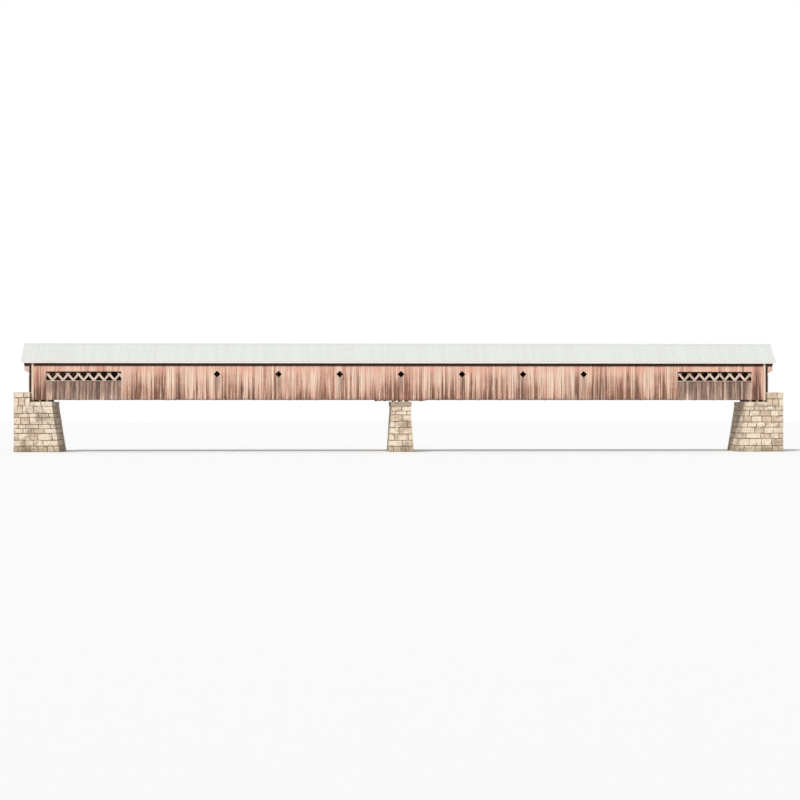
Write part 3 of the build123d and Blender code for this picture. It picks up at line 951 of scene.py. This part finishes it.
class Stonework(Blocks):
    """Collects the stones and the mortar of one mesh."""

    def __init__(self, settings, rng):
        super().__init__()
        self.settings = settings
        self.rng = rng

    def wall(self, outline, low, high, paved=False):
        """Courses of stones with mortar behind them, where outline gives the plan at each height.

        Long rows and cross rows take the corners in turn, which bonds them. The last course of
        a paved wall covers the whole plan.
        """
        settings = self.settings
        marks = split_length(high - low, settings.course, self.rng)
        levels = [low + (high - low) * mark for mark in marks]
        for number, (bottom, top) in enumerate(zip(levels, levels[1:])):
            x_low, x_high, y_low, y_high = outline((bottom + top) / 2)
            long, wide = x_high - x_low, y_high - y_low
            bed = min(settings.bed, long / 2, wide / 2)
            if paved and number == len(levels) - 2:
                count = max(2, round(wide / (PAVING_DEPTH * settings.bed)))
                edges = [wide * row / count for row in range(count + 1)]
                rows = [(0, near, long, far, 0) for near, far in zip(edges, edges[1:])]
            elif number % 2:
                rows = [
                    (0, 0, long, bed, 0), (0, wide - bed, long, wide, 0),
                    (0, bed, bed, wide - bed, 1), (long - bed, bed, long, wide - bed, 1),
                ]
            else:
                rows = [
                    (0, 0, bed, wide, 1), (long - bed, 0, long, wide, 1),
                    (bed, 0, long - bed, bed, 0), (bed, wide - bed, long - bed, wide, 0),
                ]
            half = settings.joint / 2
            bottom += half if bottom > low + MERGE else 0.0
            top -= half if top < high - MERGE else 0.0
            for *plan, way in rows:
                run = plan[way + 2] - plan[way]
                marks = split_length(run, settings.stone, self.rng)
                for mark, following in zip(marks, marks[1:]):
                    part = list(plan)
                    part[way] = plan[way] + run * mark
                    part[way + 2] = plan[way] + run * following
                    self.stone(part, way, (long, wide), (bottom, top), outline)
        corners = []
        recess = settings.recess
        for level in (low, high - recess):
            x_low, x_high, y_low, y_high = outline(level)
            xs, ys = (x_low + recess, x_high - recess), (y_low + recess, y_high - recess)
            corners.extend((xs[a], ys[b], level) for a, b in ((0, 0), (1, 0), (1, 1), (0, 1)))
        self.block(corners, slot=1)

    def stone(self, plan, way, whole, levels, outline):
        """One stone of a course, drawn in from its neighbours by half a joint."""
        half = self.settings.joint / 2
        for axis in (0, 1):
            plan[axis] += half if plan[axis] > MERGE else 0.0
            plan[axis + 2] -= half if plan[axis + 2] < whole[axis] - MERGE else 0.0
        x_start, y_start, x_end, y_end = plan
        corners = []
        for level in levels:
            x_low, x_high, y_low, y_high = outline(level)
            for x, y in ((x_start, y_start), (x_end, y_start), (x_end, y_end), (x_start, y_end)):
                along, deep = x / whole[0], y / whole[1]
                place = (x_low + (x_high - x_low) * along, y_low + (y_high - y_low) * deep, level)
                corners.append(Vector(place))
        size = (x_end - x_start, levels[1] - levels[0], y_end - y_start)
        if way:
            corners = [corners[step] for step in (1, 2, 3, 0, 5, 6, 7, 4)]
            size = size[::-1]
        self.rough_stone(corners, size)

    def rough_stone(self, corners, size):
        """A stone with worn edges and an uneven face, inside the block of its eight corners."""
        settings, rng = self.settings, self.rng
        lines = []
        for span, middle in zip(size, ((0.5,), (0.5,), ())):
            edge = min(settings.arris / span, MOST_WORN)
            lines.append((0.0, edge, *middle, 1 - edge, 1.0))
        counts = [len(line) for line in lines]

        def blend(u, v, w):
            low = [corners[0].lerp(corners[1], u), corners[3].lerp(corners[2], u)]
            high = [corners[4].lerp(corners[5], u), corners[7].lerp(corners[6], u)]
            return low[0].lerp(low[1], w).lerp(high[0].lerp(high[1], w), v)

        numbers = {}
        points = []
        for steps in itertools.product(*map(range, counts)):
            ends = [step in (0, count - 1) for step, count in zip(steps, counts)]
            if not any(ends):
                continue
            worn = settings.arris * (sum(ends) - 1) * rng.uniform(*WORN_CORNERS)
            hollow = settings.rough * rng.random() if sum(ends) == 1 else 0.0
            place = [line[step] for line, step in zip(lines, steps)]
            for axis in range(3):
                if ends[axis]:
                    inset = (worn + hollow) / size[axis]
                    place[axis] = inset if steps[axis] == 0 else 1 - inset
            numbers[steps] = len(points)
            points.append(blend(*place))
        faces = []
        for axis in range(3):
            first, second = [other for other in range(3) if other != axis]
            tops = (range(counts[first] - 1), range(counts[second] - 1))
            for end, a, b in itertools.product((0, counts[axis] - 1), *tops):
                face = []
                for step_a, step_b in ((a, b), (a + 1, b), (a + 1, b + 1), (a, b + 1)):
                    steps = [end, end, end]
                    steps[first], steps[second] = step_a, step_b
                    face.append(numbers[tuple(steps)])
                faces.append(face)
        self.add(points, faces, rng.random())


# Operators
class BridgeOperator:
    bl_options = {"REGISTER", "UNDO"}

    @property
    def settings(self):
        return bpy.context.scene.covered_bridge


class BRIDGE_OT_boarding(BridgeOperator, bpy.types.Operator):
    """Clad the sides, the sills, the gables and the portal ears with boards"""

    bl_idname = "bridge.boarding"
    bl_label = "Side Boarding"

    def execute(self, context):
        settings = self.settings.boarding
        finish = self.settings.finish
        tree = boards_tree()
        paint = siding_finish(finish)
        upright = (X_AXIS, Z_AXIS, Y_AXIS)
        gable = (Y_AXIS, Z_AXIS, X_AXIS)

        def clad(node, name, axes, step, **changes):
            """Boards in the place of a node, with random numbers of their own."""
            shift = SEED_STEP * step
            panels = closed_islands(node)
            piece = boarded(name, tree, panels, axes, settings, paint, shift, **changes)
            keep(piece, "siding", node)

        for number, (side, stretch) in enumerate(itertools.product(SIDES, STRETCHES)):
            node = f"{side}_siding_{stretch}"
            clad(node, f"{node}_boards", upright, number)
        self.sills(tree, settings, finish, upright)
        clad("gable_walls", "gable_boards", gable, 7, Ragged=GABLE_RAGGED)
        ears = {"Width": settings.ear_width, "Ragged": 0.0}
        clad("portal_ears", "portal_ear_boards", upright, 8, **ears)
        trim = timber_finish("trim_paint", finish.trim, finish.paint_light, UPRIGHT_GRAIN)
        repaint(trim, "corner_boards")
        # The dark strips' grain runs down to the painted shadow's colour.
        tar = timber_finish("dark_jambs", finish.tar, finish.soot, UPRIGHT_GRAIN)
        self.jambs(settings, tar, trim)
        return {"FINISHED"}

    def jambs(self, settings, tar, trim):
        """A dark strip beside each corner board, and below the ear a post with a pale bead."""
        blocks = Blocks()
        start = CORNER_HIGH.x
        edge = start + settings.jamb
        ear_face = EAR_HIGH.y + EAR_CLEAR
        front = CORNER_HIGH.y - JAMB_SET_BACK
        back = CORNER_HIGH.y - JAMB_DEEP
        under_ear = EAR_LOW.z - 2 * EAR_CLEAR
        parts = (
            (start, edge, ear_face, front, SIDING_HIGH.z, 0),
            (start, edge, back, ear_face, under_ear, 0),
            (edge, edge + settings.bead, back, EAR_HIGH.y, under_ear, 1),
        )
        for along, across in itertools.product((-1, 1), repeat=2):
            for x_low, x_high, y_low, y_high, high, slot in parts:
                xs = (along * x_low, along * x_high)
                ys = (across * y_low, across * y_high)
                blocks.box(xs, ys, (ABUTMENT_HIGH.z, high), slot)
        keep(blocks.piece("portal_jambs", tar, trim), "trim")

    def sills(self, tree, settings, finish, axes):
        """Boards under the long openings, each stretch with its rail."""
        bare = bare_board_finish(finish)
        rail_paint = timber_finish("sill_rail_timber", finish.trim, finish.board_grey)
        for number, (side, sign) in enumerate(SIDES.items()):
            node = f"{side}_sill_boards"
            panels = []
            rails = Blocks()
            inner = -sign * (SILL_LOW.y + SILL_RAIL_PROUD)
            for mesh in closed_islands(node):
                xs = [vertex.co.x for vertex in mesh.vertices]
                xs = (min(xs), max(xs))
                panel = Blocks()
                panel.box(xs, (inner, -sign * SILL_HIGH.y), (SILL_LOW.z, SILL_HIGH.z))
                panels.append(panel.mesh(f"{node}_panel"))
                zs = (SILL_HIGH.z - SILL_RAIL_DEEP, SILL_HIGH.z)
                rails.box(xs, (inner, -sign * SILL_LOW.y), zs)
            shift = 5 * SEED_STEP + SEED_STEP // 2 * number
            piece = boarded(f"{node}_single", tree, panels, axes, settings, bare, shift)
            keep(piece, "sill_boards", node)
            keep(rails.piece(f"{side}_sill_rails", rail_paint), "sill_boards")


class BRIDGE_OT_roof(BridgeOperator, bpy.types.Operator):
    """Cover both slopes with boards and seamed metal sheets"""

    bl_idname = "bridge.roof"
    bl_label = "Roof"

    def execute(self, context):
        settings = self.settings.roof
        finish = self.settings.finish
        metal = metal_finish(finish, settings.seam_spacing)
        under = timber_finish("roof_board_timber", finish.timber_light, finish.timber_dark)
        tree = self.seams_tree()
        for side, sign in SIDES.items():
            sheets = self.sheets(f"{side}_roof_metal", sign, settings, metal)
            keep(sheets, "roof_metal", f"{side}_roof")
            keep(self.boards(f"{side}_roof_boards", sign, settings, under), "framing")
            keep(self.seams(f"{side}_roof_seams", sign, settings, tree, metal), "roof_metal")
        repaint(metal, "ridge_cap")
        pale = timber_finish("eave_paint", finish.eave, finish.eave_worn)
        repaint(pale, "eave_boards", "rake_boards")
        return {"FINISHED"}

    def height(self, depth, below=0.0):
        """Height of the roof's top over a depth from the middle, or of a level below it."""
        return ROOF_HIGH.z - ROOF_PITCH * depth - below

    def sheets(self, name, sign, settings, metal):
        """Metal pans between the seams, each bulging a little differently."""
        rng = random.Random(settings.seed + sign)
        blocks = Blocks()
        count = round(2 * ROOF_HALF / settings.seam_spacing)
        ends = (0, SHEET_STEPS)
        corners = range(SHEET_CORNERS)
        faces = []
        for step, corner in itertools.product(range(SHEET_STEPS), corners):
            near = SHEET_CORNERS * step
            far = near + SHEET_CORNERS
            following = (corner + 1) % SHEET_CORNERS
            faces.append((near + corner, near + following, far + following, far + corner))
        faces.extend([SHEET_CORNERS * end + corner for corner in corners] for end in ends)
        for pan in range(count):
            left = -ROOF_HALF + 2 * ROOF_HALF * pan / count + settings.seam_gap / 2
            right = -ROOF_HALF + 2 * ROOF_HALF * (pan + 1) / count - settings.seam_gap / 2
            points = []
            for step in range(SHEET_STEPS + 1):
                depth = ROOF_RUN * step / SHEET_STEPS
                bulge = 0.0 if step in ends else settings.buckle * rng.random()
                edge = self.height(depth) - settings.buckle
                low = self.height(depth, settings.skin)
                outline = (
                    (left, edge), ((left + right) / 2, self.height(depth) - bulge),
                    (right, edge), (right, low), (left, low),
                )
                points.extend((x, sign * depth, z) for x, z in outline)
            blocks.add(points, faces, rng.random())
        edge = self.height(ROOF_RUN)
        ys = (sign * ROOF_RUN, sign * (ROOF_RUN + DRIP_THICK))
        blocks.box((-ROOF_HALF, ROOF_HALF), ys, (edge - settings.drip, edge - settings.buckle))
        return blocks.piece(name, metal, attribute="pan")

    def boards(self, name, sign, settings, timber):
        """Boards along the roof, under the metal, butted at random places."""
        rng = random.Random(settings.seed + 5 + sign)
        blocks = Blocks()
        count = round(ROOF_RUN / settings.sheathing)
        gap = ROOF_BOARD_GAP
        for row in range(count):
            near, far = ROOF_RUN * row / count + gap / 2, ROOF_RUN * (row + 1) / count - gap / 2
            marks = split_length(2 * ROOF_HALF, ROOF_BOARD_LONG, rng)
            for mark, following in zip(marks, marks[1:]):
                left = ROOF_LOW.x + 2 * ROOF_HALF * mark
                right = ROOF_LOW.x + 2 * ROOF_HALF * following - gap
                corners = []
                for below in (ROOF_UPRIGHT, settings.skin + ROOF_BOARD_CLEAR):
                    for x, depth in ((left, far), (right, far), (right, near), (left, near)):
                        corners.append((x, sign * depth, self.height(depth, below)))
                blocks.block(corners, rng.random())
        return blocks.piece(name, timber)

    def seams_tree(self):
        """Folded seams side by side, from the eave up to the ridge cap."""
        wiring, entry = new_tree(
            "Standing seams", Geometry="Geometry", Count="Int", First="Vector", Last="Vector",
            Eave="Vector", Ridge="Vector", Width="Float", Height="Float", Material="Material",
        )
        ends = {"Start": entry["Eave"], "End": entry["Ridge"]}
        line = wiring.value("GeometryNodeCurvePrimitiveLine", **ends)
        size = {"Width": entry["Width"], "Height": entry["Height"]}
        profile = wiring.value("GeometryNodeCurvePrimitiveQuadrilateral", **size)
        profile = wiring.value("GeometryNodeFilletCurve", Curve=profile, Radius=SEAM_ROUND)
        seam = wiring.value(
            "GeometryNodeCurveToMesh", Curve=line, Profile_Curve=profile, Fill_Caps=True
        )
        places = wiring.value(
            "GeometryNodeMeshLine", Count=entry["Count"], Start_Location=entry["First"],
            Offset=entry["Last"], mode="END_POINTS",
        )
        return wiring.close(wiring.instances(places, seam), entry["Material"])

    def seams(self, name, sign, settings, tree, metal):
        half = ROOF_HALF - settings.seam_width / 2
        cap_edge = CAP_HALF - SEAM_UNDER_CAP
        lift = settings.seam_height / 2 - settings.buckle
        values = {
            "Count": round(2 * half / settings.seam_spacing) + 1,
            "First": Vector((-half, 0, 0)),
            "Last": Vector((half, 0, 0)),
            "Eave": Vector((0, sign * ROOF_RUN, self.height(ROOF_RUN) + lift)),
            "Ridge": Vector((0, sign * cap_edge, self.height(cap_edge) + lift)),
            "Width": settings.seam_width,
            "Height": settings.seam_height,
            "Material": metal,
        }
        return new_object(name, run_tree(tree, name, bpy.data.meshes.new(name), values))


class BRIDGE_OT_masonry(BridgeOperator, bpy.types.Operator):
    """Lay the stones of the pier, the abutments and their seats"""

    bl_idname = "bridge.masonry"
    bl_label = "Stonework"

    def execute(self, context):
        settings = self.settings.masonry
        finish = self.settings.finish
        stone = stone_finish(finish)
        mortar = plain_stone_finish("mortar", finish.mortar, finish.joint_dark, 26.0)
        materials = (stone, mortar)
        rng = random.Random(settings.seed)
        foot = (PIER_LOW.x, PIER_HIGH.x, PIER_LOW.y, PIER_HIGH.y)
        top = (-PIER_TOP.x / 2, PIER_TOP.x / 2, -PIER_TOP.y / 2, PIER_TOP.y / 2)
        stones = Stonework(settings, rng)
        stones.wall(tapered(foot, top, PIER_HIGH.z), 0.0, PIER_HIGH.z)
        piece = stones.piece("pier_stonework", *materials, attribute="stone")
        keep(piece, "stone", "pier_shaft")
        for name, sign in (("west", -1), ("east", 1)):
            self.abutment(name, sign, settings, rng, materials)
        cap = plain_stone_finish("pier_cap_stone", finish.concrete, finish.stone_dark, 14.0)
        repaint(cap, "pier_cap")
        return {"FINISHED"}

    def abutment(self, name, sign, settings, rng, materials):
        """One abutment with its battered river face, its back wall and its seat."""
        def facing(x_low, x_high, low, high):
            return (*sorted((sign * x_low, sign * x_high)), low.y, high.y)

        ends = (ABUTMENT_LOW, ABUTMENT_HIGH)
        foot = facing(ABUTMENT_LOW.x, ABUTMENT_HIGH.x, *ends)
        head = facing(ABUTMENT_FACE_TOP, ABUTMENT_HIGH.x, *ends)
        back = facing(BACKWALL_FACE, ABUTMENT_HIGH.x, *ends)
        seat_face = SEAT_HIGH.x - (BACKWALL_FACE - ABUTMENT_FACE_TOP)
        seat = facing(seat_face, BACKWALL_FACE, SEAT_LOW, SEAT_HIGH)
        stones = Stonework(settings, rng)
        stones.wall(tapered(foot, head, SEAT_LOW.z), 0.0, SEAT_LOW.z)
        stones.wall(tapered(back, back, 1.0), SEAT_LOW.z, ABUTMENT_HIGH.z, paved=True)
        piece = stones.piece(f"{name}_abutment_stonework", *materials, attribute="stone")
        keep(piece, "stone", f"{name}_abutment")
        stones = Stonework(settings, rng)
        stones.wall(tapered(seat, seat, 1.0), SEAT_LOW.z, SEAT_HIGH.z, paved=True)
        piece = stones.piece(f"{name}_seat_stonework", *materials, attribute="stone")
        keep(piece, "stone", "abutment_seats")


class BRIDGE_OT_floor(BridgeOperator, bpy.types.Operator):
    """Lay the deck planks and finish the timbers under them"""

    bl_idname = "bridge.floor"
    bl_label = "Floor"

    def execute(self, context):
        finish = self.settings.finish
        light, dark = finish.timber_light, finish.timber_dark
        tree = bpy.data.node_groups.get("Boards from a panel") or boards_tree()
        axes = (X_AXIS, Y_AXIS, Z_AXIS)
        planks = plank_finish(finish)
        panels = closed_islands("deck")
        piece = boarded("deck_planks", tree, panels, axes, self.settings.floor, planks)
        keep(piece, "flooring", "deck")
        along = timber_finish("floor_timber_along", light, dark)
        across = timber_finish("floor_timber_across", light, dark, CROSS_GRAIN)
        repaint(along, "stringers", "wheel_guards")
        repaint(across, "floor_beams", "pier_bed_timbers", "west_bed_timbers", "east_bed_timbers")
        return {"FINISHED"}


class BRIDGE_OT_trusses(BridgeOperator, bpy.types.Operator):
    """Finish the lattice, the chords and the roof timbers, and drive the wooden pins"""

    bl_idname = "bridge.trusses"
    bl_label = "Trusses"

    def execute(self, context):
        settings = self.settings.truss
        finish = self.settings.finish
        light, dark = finish.timber_light, finish.timber_dark
        along = timber_finish("frame_timber_along", light, dark)
        across = timber_finish("frame_timber_across", light, dark, CROSS_GRAIN)
        upright = timber_finish("frame_timber_upright", light, dark, UPRIGHT_GRAIN)
        repaint(lattice_finish(finish), *both_sides("lattice_west", "lattice_east"))
        repaint(along, *both_sides("lower_chords", "upper_chords"), "wall_plates")
        repaint(across, "tie_beams", *both_sides("rafters", "knee_braces"))
        repaint(upright, "end_posts")
        self.pins(settings, upright)
        self.braces("upper_cross_braces", TIE_LOW.z - settings.brace_thick, settings, along)
        self.braces("lower_cross_braces", BEAM_FOOT - LOWER_BRACE_DROP, settings, along)
        return {"FINISHED"}

    def pins(self, settings, timber):
        """Two wooden pins through each crossing of the lattice planks."""
        wiring, entry = new_tree(
            "Wooden pins", Geometry="Geometry", Radius="Float", Length="Float", Material="Material"
        )
        size = {"Radius": entry["Radius"], "Depth": entry["Length"]}
        pin = wiring.value("GeometryNodeMeshCylinder", Vertices=PIN_SIDES, **size)
        pins = wiring.instances(entry["Geometry"], pin, Rotation=(math.pi / 2, 0.0, 0.0))
        tree = wiring.close(pins, entry["Material"])
        values = {
            "Radius": settings.pin_radius,
            "Length": LATTICE_HIGH.y - LATTICE_LOW.y + 2 * settings.pin_proud,
            "Material": timber,
        }
        for side, sign in SIDES.items():
            places = []
            for row in range(1, CROSSING_ROWS + 1):
                shift = 0.0 if row % 2 else 0.5
                for column in range(-BAYS_EACH_WAY, BAYS_EACH_WAY + 1):
                    x = (column + shift) * BAY
                    z = LOWER_ROW + row * ROW_SPACING
                    if abs(x) > POST_FACE - PIN_CLEAR:
                        continue
                    for turn in (-1, 1):
                        places.append((x, sign * LATTICE_MIDDLE, z + turn * settings.pin_offset))
            mesh = bpy.data.meshes.new(f"{side}_pins")
            mesh.from_pydata(places, [], [])
            name = f"{side}_lattice_pins"
            keep(new_object(name, run_tree(tree, name, mesh, values)), "framing")

    def braces(self, name, low, settings, timber):
        """Level planks that cross between the trusses, one pair in each space between ties."""
        blocks = Blocks()
        reach = TRUSS_HALF - (TIE_HIGH.x - TRUSS_HALF) - BRACE_CLEAR
        panel = 2 * reach / TIE_SPACES
        slope = math.hypot(panel, 2 * ROAD_HALF)
        shift = settings.brace_wide / 2 * slope / (2 * ROAD_HALF)
        thick = settings.brace_thick / 2
        for number in range(TIE_SPACES):
            left = -reach + panel * number
            for layer, (start, end) in enumerate(((left, left + panel), (left + panel, left))):
                plan = (
                    (start - shift, -ROAD_HALF), (start + shift, -ROAD_HALF),
                    (end + shift, ROAD_HALF), (end - shift, ROAD_HALF),
                )
                bottom = low + layer * thick
                blocks.block([(x, y, z) for z in (bottom, bottom + thick) for x, y in plan])
        keep(blocks.piece(name, timber), "framing")


class BRIDGE_OT_stage(BridgeOperator, bpy.types.Operator):
    """Set up the floor, the lights and the camera"""

    bl_idname = "bridge.stage"
    bl_label = "Stage"

    def execute(self, context):
        settings = self.settings.stage
        scene = context.scene
        scene.view_settings.view_transform = "Standard"
        self.floor(settings)
        self.lights(scene, settings)
        self.camera(scene, settings)
        return {"FINISHED"}

    def floor(self, settings):
        """A wide pale floor, a little darker to the light than to the camera."""
        low, high = -FLOOR_REACH, FLOOR_REACH
        mesh = bpy.data.meshes.new("stage_floor")
        corners = [(low, low, 0), (high, low, 0), (high, high, 0), (low, high, 0)]
        mesh.from_pydata(corners, [], [(0, 1, 2, 3)])
        wiring = new_material("stage_floor")
        seen = wiring.value("ShaderNodeLightPath", output="Is Camera Ray")
        material = wiring.surface(wiring.mix(seen, settings.bounce, settings.floor), 0.9)
        new_object("stage_floor", mesh, material)

    def lights(self, scene, settings):
        """A soft sun from the front left, and a plain sky that looks white to the camera."""
        lamp = bpy.data.lights.new("sun", "SUN")
        lamp.energy = settings.sun
        lamp.angle = SUN_WIDTH
        lamp.color = SUN_COLOUR
        sun = bpy.data.objects.new("sun", lamp)
        sun.rotation_euler = SUN_WAY.to_track_quat("-Z", "Y").to_euler()
        scene.collection.objects.link(sun)
        world = bpy.data.worlds.new("sky")
        world.use_nodes = True
        world.node_tree.nodes.clear()
        scene.world = world
        wiring = Wiring(world.node_tree)
        rays = wiring.node("ShaderNodeLightPath").outputs
        seen = Value(wiring, rays["Is Camera Ray"]).math("MAXIMUM", rays["Is Glossy Ray"])
        seen = seen.math("MAXIMUM", rays["Is Transmission Ray"])
        bright = seen * (1.0 - settings.sky) + settings.sky
        sky = wiring.value("ShaderNodeBackground", Color=(1.0, 1.0, 1.0, 1.0), Strength=bright)
        wiring.node("ShaderNodeOutputWorld", Surface=sky)

    def camera(self, scene, settings):
        """Almost square on, low, from far away and a little to the left."""
        data = bpy.data.cameras.new("camera")
        data.lens = data.sensor_width * settings.distance / settings.view
        data.clip_end = CAMERA_REACH
        camera = bpy.data.objects.new("camera", data)
        camera.location = (-settings.left, -settings.distance, settings.height)
        target = Vector((0.0, 0.0, settings.aim))
        camera.rotation_euler = (target - camera.location).to_track_quat("-Z", "Y").to_euler()
        scene.collection.objects.link(camera)
        scene.camera = camera


class BRIDGE_PT_sidebar(bpy.types.Panel):
    """Lists the pieces of the bridge and their settings"""

    bl_idname = "BRIDGE_PT_sidebar"
    bl_label = "Covered Bridge"
    bl_space_type = "VIEW_3D"
    bl_region_type = "UI"
    bl_category = "Bridge"

    def draw(self, context):
        settings = context.scene.covered_bridge
        for name in BridgeSettings.__annotations__:
            box = self.layout.box()
            if name in OPERATORS:
                box.operator(OPERATORS[name].bl_idname)
            group = getattr(settings, name)
            for key in group.__annotations__:
                box.prop(group, key)


OPERATORS = {
    "boarding": BRIDGE_OT_boarding,
    "roof": BRIDGE_OT_roof,
    "masonry": BRIDGE_OT_masonry,
    "floor": BRIDGE_OT_floor,
    "truss": BRIDGE_OT_trusses,
    "stage": BRIDGE_OT_stage,
}
CLASSES = (
    BoardingSettings, RoofSettings, MasonrySettings, FloorSettings, TrussSettings, FinishSettings,
    StageSettings, BridgeSettings, *OPERATORS.values(), BRIDGE_PT_sidebar,
)


def register():
    for entry in CLASSES:
        bpy.utils.register_class(entry)
    bpy.types.Scene.covered_bridge = bpy.props.PointerProperty(type=BridgeSettings)


def unregister():
    del bpy.types.Scene.covered_bridge
    for entry in reversed(CLASSES):
        bpy.utils.unregister_class(entry)


def main():
    """Makes the whole bridge."""
    register()
    for make in (
        bpy.ops.bridge.boarding, bpy.ops.bridge.roof, bpy.ops.bridge.masonry,
        bpy.ops.bridge.floor, bpy.ops.bridge.trusses, bpy.ops.bridge.stage,
    ):
        make()


if __name__ == "__main__":
    main()
